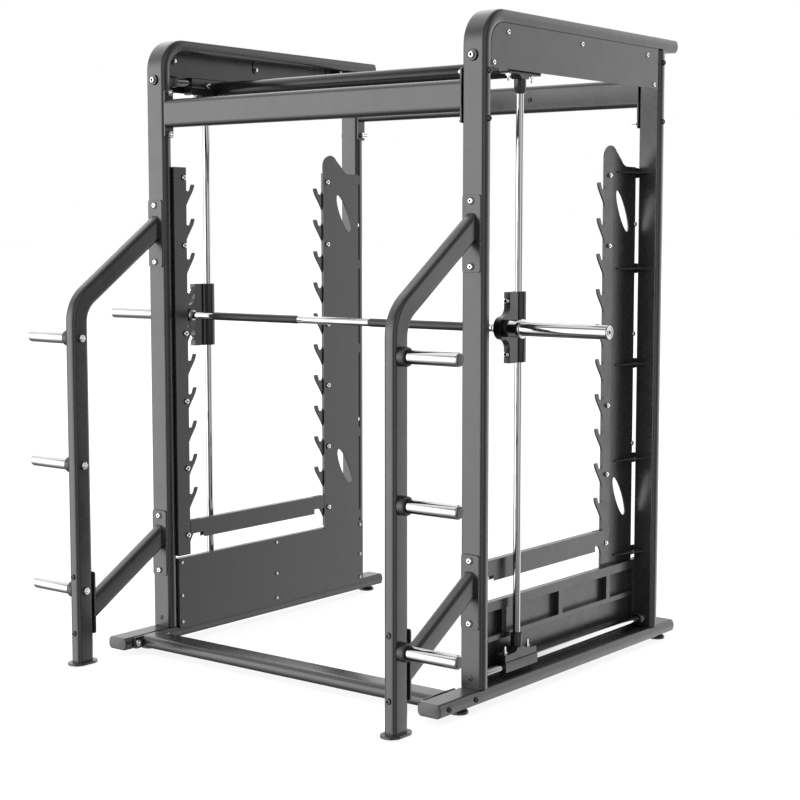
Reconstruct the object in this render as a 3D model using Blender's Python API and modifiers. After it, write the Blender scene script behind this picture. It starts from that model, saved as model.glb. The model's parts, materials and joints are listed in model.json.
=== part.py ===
"""Smith machine with a travelling gantry.

A free-standing steel frame carries two pairs of horizontal guide rods.  Four
carriages run on them and hold the two vertical rods, so the barbell moves both
up and down and front to back.  Hook racks at the front and the rear hold the
bar, two safety bars hang on the lowest hooks, and plate horns stand on the two
storage posts in front of the frame.

Metres, +Z up.  The origin is on the floor in the middle of the footprint, +X
is the user's right, and +Y points to the back of the machine.
"""
import math

import bmesh
import bpy
from mathutils import Matrix, Vector

# ---------------------------------------------------------------- dimensions
GAP = 0.0003                      # clearance left between touching pieces

# main frame tube, flat sided with rounded corners
TUBE_WIDE = 0.088                 # across the frame, along X
TUBE_DEEP = 0.044
TUBE_CORNER = 0.012
TUBE_WALL = 0.003

FRAME_X = 0.699                   # middle plane of each side frame
INNER_X = FRAME_X - TUBE_WIDE / 2
FRAME_TOP = 2.202
FRAME_BEND = 0.090                # centreline radius of the top front bend
RAIL_LOW = 0.021
RAIL_TOP = RAIL_LOW + TUBE_DEEP

# stations along Y, measured from the front faces of the front uprights
FRONT = -0.40815                  # puts the middle of the footprint on the origin
REAR_FACE = FRONT + 1.134         # rear faces of the rear uprights
REAR_FRONT = REAR_FACE - TUBE_DEEP
FRONT_REAR = FRONT + TUBE_DEEP
RAIL_FRONT = FRONT - 0.216
RAIL_REAR = FRONT + 1.252
BEAM_REAR = FRONT + 1.212
CAP_THICK = 0.005

# side panels below the top beams
PANEL_OUT = FRAME_X + 0.039
PANEL_THICK = 0.003
PANEL_LOW = 2.020

# cross members
BEAM_TALL = 0.100
BEAM_DEEP = 0.044
BEAM_CORNER = 0.018
FLANGE_THICK = 0.006
FLANGE_WIDE = 0.042
FRONT_BEAM_Z = 1.935
FRONT_FLANGE_TALL = 0.170
REAR_BEAM_Z = 2.011
REAR_FLANGE_TALL = 0.250
BASE_TUBE_Y = FRONT - 0.100
BASE_FLANGE_LONG = 0.168

# gantry
GUIDE_ROD_R = 0.014
UPPER_GUIDE_Z = 2.055
LOWER_GUIDE_Z = 0.098
ROD_R = 0.0125
ROD_Y = FRONT + 0.261
ROD_CLEAR = 0.0003
CARRIAGE_LONG = 0.188
CARRIAGE_HALF = 0.0235
CARRIAGE_BACK = 0.019             # half height of the block round the guide rod
SADDLE_HALF = 0.013
SADDLE_FACE = 0.048               # from the guide rod's axis towards the middle
COLLAR_R = 0.0195
COLLAR_LONG = 0.052
SYNC_R = 0.028
SYNC_Y = FRONT + 0.311
SYNC_Z = 2.038

# barbell
BAR_Z = 1.208
BAR_Y = FRONT + 0.162
BAR_R = 0.013
BAR_END = 1.094
SLEEVE_R = 0.0225
SLEEVE_END = 1.100
HOUSING_R = 0.025
HOUSING_TALL = 0.229
BEARING_R = 0.0195
CARRIER_IN = 0.693
CARRIER_OUT = 0.717
CARRIER_FRONT = FRONT + 0.186
CARRIER_FILLET = 0.030
BOSS_R = 0.0375
HUB_R = 0.0225
HUB_OUT = 0.736
BOSS_IN = 0.687                   # inner faces of the housings' bosses
RING_R = 0.0195
RING_LONG = 0.010
SHAFT_HUB = (0.0255, 0.000, 0.036)  # radius, then start and end outside the black hub
SHOULDER = (0.031, 0.034, 0.046)

# hook racks
HOOK_COUNT = 11
HOOK_PITCH = 0.1237
HOOK_TOP = 1.686                  # tip of the highest hook
FRONT_REACH = 0.047               # front hooks, short enough to clear the bar
REAR_REACH = 0.052
SLOT_R = 0.0135
SLOT_DEPTH = 0.025
HOOK_DROP = 0.088
HOOK_UNDERSIDE = ((0.0, 1.0), (0.12, 0.86), (0.34, 0.66), (0.62, 0.44), (0.86, 0.24), (0.98, 0.07))
RACK_TOP = 1.747
RACK_LOW = 0.326
RACK_IN = 0.646                   # inner faces of the rack plates
RACK_PLATE = 0.005
RACK_FRONT = FRONT + 0.040
RACK_TURN = 0.680                 # outer end of the flange behind the upright
STRIP_IN = RACK_IN + RACK_PLATE + GAP
STRIP_THICK = 0.006
FRONT_EDGE = FRONT + 0.102
FRONT_STRIP_BACK = FRONT + 0.066
REAR_EDGE = FRONT + 0.8665
REAR_STRIP_BACK = FRONT + 0.918
FIN_REAR = FRONT + 1.086
WINDOW_Y = FRONT + 0.995
WINDOW_LEVELS = (1.588, 0.557)
WINDOW_SIZE = (0.084, 0.024)
WINDOW_LEAN = -61.6
FIN_EAR_R = 0.046
FIN_TOP = 1.772
FIN_LOW = 0.313                   # just below the top edge of the lower cover
RIB_LEVELS = (1.726, 1.383, 1.038, 0.690, 0.346)
RIB_THICK = 0.005
RIB_FRONT = FRONT + 0.955
RIB_OUT = 0.702
WELD = 0.0005                     # how far welded pieces sink into each other

# lower side frames and their cover panels
SIDE_TOP = 0.316
SIDE_LOW = RAIL_TOP + GAP
SIDE_THICK = 0.020
SIDE_POST = 0.025
SIDE_POSTS = (0.226, 0.570, 0.887)
SIDE_CELLS = {"lower": (0.088, 0.184), "upper": (0.202, 0.284)}
COVER_THICK = 0.003
COVER_LOW = 0.054

# safety bars
SAFETY_IN = 0.6455
SAFETY_WIDE = 0.024
SAFETY_TALL = 0.070
SAFETY_WALL = 0.003
SAFETY_SLIT = 0.008
SAFETY_PIN_R = 0.011
SAFETY_STEP = 0.019
SAFETY_ENDS = (FRONT_EDGE + 0.002, REAR_EDGE - 0.002)
SAFETY_STEPS = (FRONT + 0.1745, FRONT + 0.804)
SAFETY_OVER_PIN = 0.016

# plate storage
POST_WIDE = 0.044
POST_DEEP = 0.072
POST_CORNER = 0.014
POST_Y = FRONT - 0.384
POST_BEND = 0.115
POST_JOIN_Z = 1.532               # tube axis at the front upright
POST_SLOPE = 0.700
BRACE_JOIN_Z = 0.407
BRACE_SLOPE = 0.612
POST_FLANGE = (0.068, 0.240)
POST_FLANGE_Z = 1.508
BRACE_FLANGE_Z = 0.378
REAR_PAD_Z = 0.217
REAR_PAD = (0.052, 0.220)
FOOT_PLATE = (0.070, 0.114)
FOOT_PLATE_LEVELS = (0.005, 0.013)  # held just clear of the floor by the levelling feet
HORN_LEVELS = {"top": 1.149, "middle": 0.707, "bottom": 0.265}
HORN_R = 0.0215
HORN_END = 0.935
HORN_COLLAR_R = 0.0295
HORN_COLLAR_LONG = 0.026

# levelling feet
FOOT_R = 0.031
FOOT_STATIONS = {"front": FRONT - 0.062, "rear": FRONT + 1.200}

SIDES = {"left": -1, "right": 1}
CIRCLE = 24                       # sides of a round bar
FINE = 3                          # segments in a quarter round
BEND_STEPS = 7                    # segments in a tube's bend


# --------------------------------------------------------------- scene set-up
for old in list(bpy.data.objects):
    bpy.data.objects.remove(old, do_unlink=True)

machine = bpy.data.collections.new("smith_machine")
guides = bpy.data.collections.new("cutters")
bpy.context.scene.collection.children.link(machine)
bpy.context.scene.collection.children.link(guides)


def material(name, colour, roughness, metallic):
    made = bpy.data.materials.new(name)
    made.use_nodes = True
    shader = made.node_tree.nodes["Principled BSDF"]
    shader.inputs["Base Color"].default_value = (*colour, 1.0)
    shader.inputs["Roughness"].default_value = roughness
    shader.inputs["Metallic"].default_value = metallic
    return made


COAT = material("powder_coat", (0.060, 0.061, 0.063), 0.45, 0.0)
PANEL = material("panel_coat", (0.075, 0.076, 0.078), 0.50, 0.0)
CHROME = material("chrome", (0.82, 0.83, 0.84), 0.08, 1.0)
RUBBER = material("rubber", (0.020, 0.020, 0.021), 0.75, 0.0)
PLASTIC = material("black_plastic", (0.028, 0.028, 0.030), 0.42, 0.0)
STEEL = material("bearing_steel", (0.55, 0.56, 0.58), 0.22, 1.0)


# ------------------------------------------------------------------- outlines
def arc(centre, radius, start, end, steps=FINE):
    """Points of an arc, angles in degrees, both ends included."""
    points = []
    for i in range(steps + 1):
        angle = math.radians(start + (end - start) * i / steps)
        points.append((centre[0] + radius * math.cos(angle), centre[1] + radius * math.sin(angle)))
    return points


def rounded(wide, tall, corner, centre=(0.0, 0.0), steps=FINE):
    """Rectangle with round corners, counter-clockwise."""
    dx = wide / 2 - corner
    dy = tall / 2 - corner
    points = []
    for sx, sy, start in ((1, 1, 0), (-1, 1, 90), (-1, -1, 180), (1, -1, 270)):
        corner_at = (centre[0] + sx * dx, centre[1] + sy * dy)
        points += arc(corner_at, corner, start, start + 90, steps)
    return points


def ellipse(centre, halves, lean, steps=20):
    """Points of an ellipse whose first half-axis is turned by lean degrees."""
    cosine, sine = math.cos(math.radians(lean)), math.sin(math.radians(lean))
    points = []
    for i in range(steps):
        angle = 2 * math.pi * i / steps
        u, v = halves[0] * math.cos(angle), halves[1] * math.sin(angle)
        points.append((centre[0] + u * cosine - v * sine, centre[1] + u * sine + v * cosine))
    return points


def bent(start, corner, end, radius, steps=BEND_STEPS):
    """Two straight runs joined by an arc of the given centreline radius."""
    start, corner, end = Vector(start), Vector(corner), Vector(end)
    to_start = (start - corner).normalized()
    to_end = (end - corner).normalized()
    half = to_start.angle(to_end) / 2
    centre = corner + (to_start + to_end).normalized() * radius / math.sin(half)
    first = corner + to_start * radius / math.tan(half) - centre
    last = corner + to_end * radius / math.tan(half) - centre
    turn = first.angle(last)
    points = [tuple(start)]
    for i in range(steps + 1):
        share = i / steps
        spoke = first * math.sin((1 - share) * turn) + last * math.sin(share * turn)
        points.append(tuple(centre + spoke / math.sin(turn)))
    points.append(tuple(end))
    return points


# --------------------------------------------------------------- solid makers
# An axis letter names the direction that a shape is extruded or turned along.
PLANES = {
    "X": Matrix(((0, 0, 1, 0), (1, 0, 0, 0), (0, 1, 0, 0), (0, 0, 0, 1))),
    "Y": Matrix(((1, 0, 0, 0), (0, 0, -1, 0), (0, 1, 0, 0), (0, 0, 0, 1))),
    "Z": Matrix.Identity(4),
}


def settle(curve_object, place):
    """Turn a curve object into a welded mesh object of the same name."""
    machine.objects.link(curve_object)
    bpy.context.view_layer.update()
    graph = bpy.context.evaluated_depsgraph_get()
    mesh = bpy.data.meshes.new_from_object(curve_object.evaluated_get(graph))
    name = curve_object.name
    bpy.data.objects.remove(curve_object, do_unlink=True)
    work = bmesh.new()
    work.from_mesh(mesh)
    bmesh.ops.remove_doubles(work, verts=work.verts, dist=0.00001)
    bmesh.ops.recalc_face_normals(work, faces=work.faces)
    work.to_mesh(mesh)
    work.free()
    made = bpy.data.objects.new(name, mesh)
    made.matrix_world = place
    machine.objects.link(made)
    return made


def add_spline(data, points, closed):
    spline = data.splines.new("POLY")
    spline.points.add(len(points) - 1)
    for point, (u, v) in zip(spline.points, points):
        point.co = (u, v, 0.0, 1.0)
    spline.use_cyclic_u = closed


def plate(name, loops, axis, low, high):
    """Flat outline, with any holes as further loops, from low to high along axis."""
    data = bpy.data.curves.new(name, "CURVE")
    data.dimensions = "2D"
    data.fill_mode = "BOTH"
    data.extrude = (high - low) / 2
    for loop in loops:
        add_spline(data, loop, True)
    offset = {"X": (1, 0, 0), "Y": (0, 1, 0), "Z": (0, 0, 1)}[axis]
    place = Matrix.Translation(Vector(offset) * (low + high) / 2) @ PLANES[axis]
    return settle(bpy.data.objects.new(name, data), place)


def sweep(name, outline, path, x=0.0, capped=True):
    """Outline (across X, then across the run) carried along a path in Y and Z."""
    section = bpy.data.curves.new(name + "_section", "CURVE")
    section.dimensions = "2D"
    section.fill_mode = "NONE"
    add_spline(section, [(v, u) for u, v in outline], True)
    section_object = bpy.data.objects.new(name + "_section", section)
    guides.objects.link(section_object)
    data = bpy.data.curves.new(name, "CURVE")
    data.dimensions = "2D"
    data.fill_mode = "NONE"
    data.bevel_mode = "OBJECT"
    data.bevel_object = section_object
    data.use_fill_caps = capped
    add_spline(data, path, False)
    place = Matrix.Translation((x, 0, 0)) @ PLANES["X"]
    made = settle(bpy.data.objects.new(name, data), place)
    bpy.data.objects.remove(section_object, do_unlink=True)
    return made


def cylinder(name, radius, axis, low, high, centre, steps=CIRCLE):
    """Closed round bar; centre gives the other two coordinates in X, Y, Z order."""
    work = bmesh.new()
    bmesh.ops.create_cone(work, cap_ends=True, segments=steps, radius1=radius, radius2=radius,
                          depth=high - low)
    mesh = bpy.data.meshes.new(name)
    work.to_mesh(mesh)
    work.free()
    made = bpy.data.objects.new(name, mesh)
    middle = (low + high) / 2
    if axis == "X":
        made.matrix_world = Matrix.Translation((middle, *centre)) @ Matrix.Rotation(math.pi / 2, 4, "Y")
    elif axis == "Y":
        made.matrix_world = (Matrix.Translation((centre[0], middle, centre[1]))
                             @ Matrix.Rotation(math.pi / 2, 4, "X"))
    else:
        made.matrix_world = Matrix.Translation((*centre, middle))
    machine.objects.link(made)
    return made


def block(name, x, y, z):
    """Box between two limits on each axis."""
    work = bmesh.new()
    bmesh.ops.create_cube(work, size=1.0)
    for vert in work.verts:
        for axis, (low, high) in enumerate((x, y, z)):
            vert.co[axis] = (low + high) / 2 + vert.co[axis] * (high - low)
    mesh = bpy.data.meshes.new(name)
    work.to_mesh(mesh)
    work.free()
    made = bpy.data.objects.new(name, mesh)
    machine.objects.link(made)
    return made


def combine(target, tool, operation):
    """Join or cut target with tool, which becomes a guide."""
    machine.objects.unlink(tool)
    guides.objects.link(tool)
    tool.hide_render = True
    tool.display_type = "WIRE"
    step = target.modifiers.new(tool.name, "BOOLEAN")
    step.operation = operation
    step.object = tool
    return target


def join(target, tool):
    return combine(target, tool, "UNION")


def cut(target, tool):
    return combine(target, tool, "DIFFERENCE")


def finish(target, coat, smooth_angle=35):
    target.data.materials.clear()
    target.data.materials.append(coat)
    target.data.shade_smooth()
    target.data.set_sharp_from_angle(angle=math.radians(smooth_angle))
    return target


def hollow(target, wall=TUBE_WALL):
    """Give an open tube surface its wall, inwards."""
    shell = target.modifiers.new("wall", "SOLIDIFY")
    shell.thickness = wall
    shell.offset = -1
    return target


def mirrored(side, low, high):
    """X limits on the right-hand side, moved to the asked side in rising order."""
    return (low, high) if side > 0 else (-high, -low)


# ----------------------------------------------------------------- main frame
def frame_tube(name, path, side):
    """Open skin of the main tube along a path in the plane of one side frame."""
    return sweep(name, rounded(TUBE_WIDE, TUBE_DEEP, TUBE_CORNER), path, side * FRAME_X, capped=False)


def front_upright(name, side):
    """Upright and top beam bent from one tube, with the front rack plate welded on."""
    middle = FRONT + TUBE_DEEP / 2
    top = FRAME_TOP - TUBE_DEEP / 2
    path = bent((middle, RAIL_TOP + GAP), (middle, top), (BEAM_REAR, top), FRAME_BEND)
    tube = hollow(frame_tube(name, path, side))
    outer = RACK_IN + RACK_PLATE
    weld = FRONT_REAR - WELD
    angle = [(RACK_IN, RACK_FRONT), (outer, RACK_FRONT), (outer, weld), (RACK_TURN, weld),
             (RACK_TURN, weld + RACK_PLATE), (outer, weld + RACK_PLATE), (outer, FRONT_EDGE),
             (RACK_IN, FRONT_EDGE)]
    outline = [(side * x, y) for x, y in angle]
    join(tube, plate(name + "_rack_plate", [outline], "Z", RACK_LOW, RACK_TOP))
    return finish(tube, COAT)


def rear_upright(name, side):
    middle = REAR_FACE - TUBE_DEEP / 2
    path = [(middle, RAIL_TOP + GAP), (middle, FRAME_TOP - TUBE_DEEP - GAP)]
    return finish(hollow(frame_tube(name, path, side)), COAT)


def base_rail(name, side):
    level = RAIL_LOW + TUBE_DEEP / 2
    path = [(RAIL_FRONT, level), (RAIL_REAR, level)]
    return finish(hollow(frame_tube(name, path, side)), COAT)


def tube_cap(name, side, station, outward, level):
    """Plug for an open tube end: a face plate and a boss inside the tube."""
    centre = (side * FRAME_X, level)
    face = (station + outward * GAP, station + outward * (GAP + CAP_THICK))
    cap = plate(name, [rounded(TUBE_WIDE, TUBE_DEEP, TUBE_CORNER, centre)], "Y", min(face), max(face))
    slack = 2 * (TUBE_WALL + 2 * GAP)
    boss_outline = rounded(TUBE_WIDE - slack, TUBE_DEEP - slack, TUBE_CORNER - slack / 2, centre)
    reach = (station - outward * 0.014, station + outward * (GAP + CAP_THICK / 2))
    boss = plate(name + "_boss", [boss_outline], "Y", min(reach), max(reach))
    return finish(join(cap, boss), PLASTIC)


def side_panel(name, side):
    """Flat panel that closes the corner between upright, top beam and rear upright."""
    bend_y = FRONT + TUBE_DEEP / 2 + FRAME_BEND
    bend_z = FRAME_TOP - TUBE_DEEP / 2 - FRAME_BEND
    inside = FRAME_BEND - TUBE_DEEP / 2 - GAP
    outline = [(FRONT_REAR + GAP, PANEL_LOW)] + arc((bend_y, bend_z), inside, 180, 90, 8)
    outline += [(REAR_FRONT - GAP, FRAME_TOP - TUBE_DEEP - GAP), (REAR_FRONT - GAP, PANEL_LOW)]
    low, high = mirrored(side, PANEL_OUT - PANEL_THICK, PANEL_OUT)
    return finish(plate(name, [outline], "X", low, high), PANEL)


def cross_beam(name, y, z, size, flange, reach=INNER_X - GAP):
    """Rounded tube between two bolt flanges; its bore runs through the flanges."""
    outer = rounded(size[0], size[1], BEAM_CORNER, (y, z))
    bore = rounded(size[0] - 2 * TUBE_WALL, size[1] - 2 * TUBE_WALL, BEAM_CORNER - TUBE_WALL, (y, z))
    pad = rounded(flange[0], flange[1], 0.008, (y, z), 3)
    beam = plate(name, [outer], "X", -reach + 0.001, reach - 0.001)
    join(beam, plate(name + "_left_flange", [pad], "X", -reach, -reach + FLANGE_THICK))
    join(beam, plate(name + "_right_flange", [pad], "X", reach - FLANGE_THICK, reach))
    cut(beam, plate(name + "_bore", [bore], "X", -reach - 0.01, reach + 0.01))
    return finish(beam, COAT)


# ------------------------------------------------------------- racks and sides
def hook_outline(edge, back, outward, reach):
    """Toothed edge facing outward: up-turned hooks, each with a round seat."""
    def at(out, z):
        return (edge + outward * out, z)

    points = []
    for i in reversed(range(HOOK_COUNT)):
        tip = HOOK_TOP - i * HOOK_PITCH
        points += [at(share * reach, tip - drop * HOOK_DROP) for share, drop in HOOK_UNDERSIDE]
        points += [at(reach - 0.001, tip - 0.001), at(reach - 0.004, tip), at(2 * SLOT_R + 0.006, tip)]
        for out, z in arc((SLOT_R + 0.0005, tip - SLOT_DEPTH + SLOT_R), SLOT_R, 0, -165, 5):
            points += [at(out, z)]
        points += [at(0, tip - 0.012)]
    points += [at(0, RACK_TOP), (back, RACK_TOP), (back, RACK_LOW), at(0, RACK_LOW)]
    return points


def hook_strip(name, side, edge, back, outward, reach):
    limits = mirrored(side, STRIP_IN, STRIP_IN + STRIP_THICK)
    return finish(plate(name, [hook_outline(edge, back, outward, reach)], "X", *limits), COAT)


def rear_rack_plate(name, side):
    """Fin plate with a rounded ear on top, two leaning oval windows and five welded ribs."""
    ear = (REAR_EDGE + FIN_EAR_R, FIN_TOP)
    outline = [(REAR_EDGE, FIN_LOW)]
    outline += arc(ear, FIN_EAR_R, 180, 35, 9)
    outline += arc((ear[0] + 0.115, RACK_TOP + 0.052), 0.052, 215, 270, 4)
    outline += [(FIN_REAR, RACK_TOP), (FIN_REAR, FIN_LOW)]
    windows = [ellipse((WINDOW_Y, level), WINDOW_SIZE, WINDOW_LEAN) for level in WINDOW_LEVELS]
    fin = plate(name, [outline] + windows, "X", *mirrored(side, RACK_IN, RACK_IN + RACK_PLATE))
    reach = REAR_FRONT - GAP
    root = side * (RACK_IN + RACK_PLATE - WELD)
    nose = root + side * RIB_THICK
    rib = [(root, RIB_FRONT), (nose, RIB_FRONT), (side * RIB_OUT, reach), (root, reach)]
    for i, level in enumerate(RIB_LEVELS):
        join(fin, plate(f"{name}_rib_{i}", [rib], "Z", level - RIB_THICK / 2, level + RIB_THICK / 2))
    return finish(fin, COAT)


def side_frame(name, side):
    """Low welded frame: three rails, end posts, and three short posts in its upper row."""
    front, rear = FRONT_REAR + GAP, REAR_FRONT - GAP
    outline = [(front, SIDE_LOW), (rear, SIDE_LOW), (rear, SIDE_TOP), (front, SIDE_TOP)]
    half = SIDE_POST / 2
    posts = [front + half, *(FRONT + y for y in SIDE_POSTS), rear - half]
    windows = []
    low, high = SIDE_CELLS["upper"]
    for first, last in zip(posts, posts[1:]):
        y = (first + half, last - half)
        windows.append([(y[0], low), (y[1], low), (y[1], high), (y[0], high)])
    low, high = SIDE_CELLS["lower"]
    y = (posts[0] + half, posts[-1] - half)
    windows.append([(y[0], low), (y[1], low), (y[1], high), (y[0], high)])
    limits = mirrored(side, INNER_X, INNER_X + SIDE_THICK)
    return finish(plate(name, [outline] + windows, "X", *limits), COAT)


def lower_cover(name, side):
    y = (FRONT + 0.047, FRONT + 1.120)
    centre = ((y[0] + y[1]) / 2, (SIDE_TOP + COVER_LOW) / 2)
    outline = rounded(y[1] - y[0], SIDE_TOP - COVER_LOW, 0.010, centre, 3)
    limits = mirrored(side, INNER_X - GAP - COVER_THICK, INNER_X - GAP)
    return finish(plate(name, [outline], "X", *limits), PANEL)


# --------------------------------------------------------------- plate storage
def storage_post(name, side):
    """Post bent from one tube, with its bolt flange and foot plate."""
    x = side * FRAME_X
    elbow = POST_JOIN_Z - POST_SLOPE * (FRONT - POST_Y)
    path = bent((FRONT + 0.020, POST_JOIN_Z + POST_SLOPE * 0.020), (POST_Y, elbow),
                (POST_Y, FOOT_PLATE_LEVELS[1] - 0.002), POST_BEND)
    bore_path = path[:-1] + [(POST_Y, FOOT_PLATE_LEVELS[1] + 0.001)]
    post = sweep(name, rounded(POST_WIDE, POST_DEEP, POST_CORNER), path, x)
    wall = 2 * TUBE_WALL
    inside = rounded(POST_WIDE - wall, POST_DEEP - wall, POST_CORNER - TUBE_WALL)
    bore = sweep(name + "_bore", inside, bore_path, x)
    face = FRONT - GAP
    cut(post, block(name + "_trim", (x - 0.1, x + 0.1), (face - 0.001, face + 0.2), (1.2, 1.9)))
    flange = rounded(*POST_FLANGE, 0.008, (x, POST_FLANGE_Z), 3)
    join(post, plate(name + "_flange", [flange], "Y", face - FLANGE_THICK, face))
    foot = rounded(*FOOT_PLATE, FOOT_PLATE[0] / 2 - GAP, (x, POST_Y), 6)
    join(post, plate(name + "_foot", [foot], "Z", *FOOT_PLATE_LEVELS))
    cut(post, bore)
    return finish(post, COAT)


def storage_brace(name, side):
    """Slanting tube between the front upright and the post, flanged at both ends."""
    x = side * FRAME_X
    front_face = FRONT - GAP
    rear_face = POST_Y + POST_DEEP / 2 + GAP
    ends = [(y, BRACE_JOIN_Z + BRACE_SLOPE * (y - FRONT)) for y in (rear_face - 0.06, front_face + 0.06)]
    tube = sweep(name, rounded(POST_WIDE, POST_DEEP, POST_CORNER), ends, x)
    wall = 2 * TUBE_WALL
    inside = rounded(POST_WIDE - wall, POST_DEEP - wall, POST_CORNER - TUBE_WALL)
    bore = sweep(name + "_bore", inside, ends, x)
    across = (x - 0.1, x + 0.1)
    cut(tube, block(name + "_trim_a", across, (front_face - 0.001, front_face + 0.3), (0.1, 0.8)))
    cut(tube, block(name + "_trim_b", across, (rear_face - 0.3, rear_face + 0.001), (0.0, 0.6)))
    pads = ((front_face - FLANGE_THICK, front_face, POST_FLANGE, BRACE_FLANGE_Z),
            (rear_face, rear_face + FLANGE_THICK, REAR_PAD, REAR_PAD_Z))
    for i, (low, high, size, level) in enumerate(pads):
        pad = rounded(*size, 0.008, (x, level), 3)
        join(tube, plate(f"{name}_pad_{i}", [pad], "Y", low, high))
    cut(tube, bore)
    return finish(tube, COAT)


def plate_horn(name, side, level):
    """Round horn with a collar at its root, along X."""
    root = FRAME_X + POST_WIDE / 2 + GAP
    horn = cylinder(name, HORN_R, "X", *mirrored(side, root, HORN_END), (POST_Y, level))
    collar_limits = mirrored(side, root, root + HORN_COLLAR_LONG)
    join(horn, cylinder(name + "_collar", HORN_COLLAR_R, "X", *collar_limits, (POST_Y, level)))
    return finish(horn, CHROME)


def levelling_foot(name, side, station):
    """Turned foot: rubber-soled disc, nut and stem below the base rail."""
    place = (side * FRAME_X, station)
    foot = cylinder(name, FOOT_R, "Z", 0.0, 0.012, place)
    join(foot, cylinder(name + "_stem", 0.008, "Z", 0.006, RAIL_LOW - GAP, place, 20))
    join(foot, cylinder(name + "_nut", 0.014, "Z", 0.011, 0.019, place, 6))
    return finish(foot, RUBBER)


# --------------------------------------------------------------------- gantry
def guide_rod(name, side, level):
    limits = (FRONT_REAR + GAP, REAR_FRONT - GAP)
    return finish(cylinder(name, GUIDE_ROD_R, "Y", *limits, (side * FRAME_X, level)), CHROME)


def carriage(name, side, level, inward):
    """Bearing block on a guide rod; its narrower saddle holds the vertical rod's socket."""
    x = side * FRAME_X
    y = (ROD_Y - CARRIAGE_LONG / 2, ROD_Y + CARRIAGE_LONG / 2)
    face = level + inward * SADDLE_FACE
    outline = rounded(2 * CARRIAGE_HALF, 2 * CARRIAGE_BACK, 0.006, (x, level), 3)
    body = plate(name, [outline], "Y", *y)
    saddle = sorted((level + inward * (CARRIAGE_BACK - WELD), face))
    join(body, block(name + "_saddle", (x - SADDLE_HALF, x + SADDLE_HALF), y, saddle))
    collar = sorted((face - inward * 0.002, face + inward * COLLAR_LONG))
    join(body, cylinder(name + "_collar", COLLAR_R, "Z", *collar, (x, ROD_Y)))
    cut(body, cylinder(name + "_bore", GUIDE_ROD_R + ROD_CLEAR, "Y", y[0] - 0.01, y[1] + 0.01, (x, level)))
    socket = sorted((face + inward * GAP, face + inward * (COLLAR_LONG + 0.01)))
    cut(body, cylinder(name + "_socket", ROD_R + ROD_CLEAR, "Z", *socket, (x, ROD_Y)))
    return finish(body, PLASTIC)


def vertical_rod(name, side):
    low = LOWER_GUIDE_Z + SADDLE_FACE + 2 * GAP
    high = UPPER_GUIDE_Z - SADDLE_FACE - 2 * GAP
    return finish(cylinder(name, ROD_R, "Z", low, high, (side * FRAME_X, ROD_Y)), CHROME)


def sync_tube(name):
    """Tube that ties the two upper carriages together, open at its ends."""
    reach = FRAME_X - CARRIAGE_HALF - GAP
    tube = cylinder(name, SYNC_R, "X", -reach, reach, (SYNC_Y, SYNC_Z))
    cut(tube, cylinder(name + "_bore", SYNC_R - TUBE_WALL, "X", -reach - 0.01, reach + 0.01, (SYNC_Y, SYNC_Z)))
    return finish(tube, COAT)


# -------------------------------------------------------------------- barbell
def rod_housing(name, side):
    """Slide housing on the vertical rod, with the carrier and boss for the bar."""
    x = side * FRAME_X
    z = (BAR_Z - HOUSING_TALL / 2, BAR_Z + HOUSING_TALL / 2)
    body = cylinder(name, HOUSING_R, "Z", *z, (x, ROD_Y))
    across = CARRIER_FRONT - CARRIER_FILLET - BAR_Y
    rise = math.sqrt((BOSS_R + CARRIER_FILLET) ** 2 - across ** 2)
    spread = math.degrees(math.atan2(rise, across))
    outline = [(ROD_Y, z[0]), (ROD_Y, z[1]), (CARRIER_FRONT, z[1])]
    outline += arc((BAR_Y + across, BAR_Z + rise), CARRIER_FILLET, 0, spread - 180, 3)
    outline += arc((BAR_Y, BAR_Z), BOSS_R, spread, 360 - spread, 12)[1:-1]
    outline += arc((BAR_Y + across, BAR_Z - rise), CARRIER_FILLET, 180 - spread, 0, 3)
    outline += [(CARRIER_FRONT, z[0])]
    join(body, plate(name + "_carrier", [outline], "X", *mirrored(side, CARRIER_IN, CARRIER_OUT)))
    hub = mirrored(side, CARRIER_OUT - 0.002, HUB_OUT)
    boss = mirrored(side, BOSS_IN, CARRIER_IN + 0.002)
    join(body, cylinder(name + "_hub", HUB_R, "X", *hub, (BAR_Y, BAR_Z)))
    join(body, cylinder(name + "_boss", HUB_R, "X", *boss, (BAR_Y, BAR_Z)))
    cut(body, cylinder(name + "_bore", BEARING_R + GAP, "Z", z[0] - 0.01, z[1] + 0.01, (x, ROD_Y)))
    through = mirrored(side, CARRIER_IN - 0.05, HUB_OUT + 0.05)
    cut(body, cylinder(name + "_bar_bore", BAR_R + 2 * GAP, "X", *through, (BAR_Y, BAR_Z)))
    return finish(body, PLASTIC)


def linear_bearing(name, side):
    """Bush inside the housing that runs on the vertical rod."""
    half = HOUSING_TALL / 2 - 0.002
    place = (side * FRAME_X, ROD_Y)
    bush = cylinder(name, BEARING_R, "Z", BAR_Z - half, BAR_Z + half, place)
    cut(bush, cylinder(name + "_bore", ROD_R + ROD_CLEAR, "Z", BAR_Z - 0.2, BAR_Z + 0.2, place))
    return finish(bush, STEEL)


def bar(name):
    """Straight bar; its two inner collars stand against the housings."""
    shaft = cylinder(name, BAR_R, "X", -BAR_END, BAR_END, (BAR_Y, BAR_Z))
    for side in SIDES.values():
        limits = mirrored(side, BOSS_IN - 2 * GAP - RING_LONG, BOSS_IN - 2 * GAP)
        join(shaft, cylinder(f"{name}_collar_{side}", RING_R, "X", *limits, (BAR_Y, BAR_Z)))
    return finish(shaft, CHROME)


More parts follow.
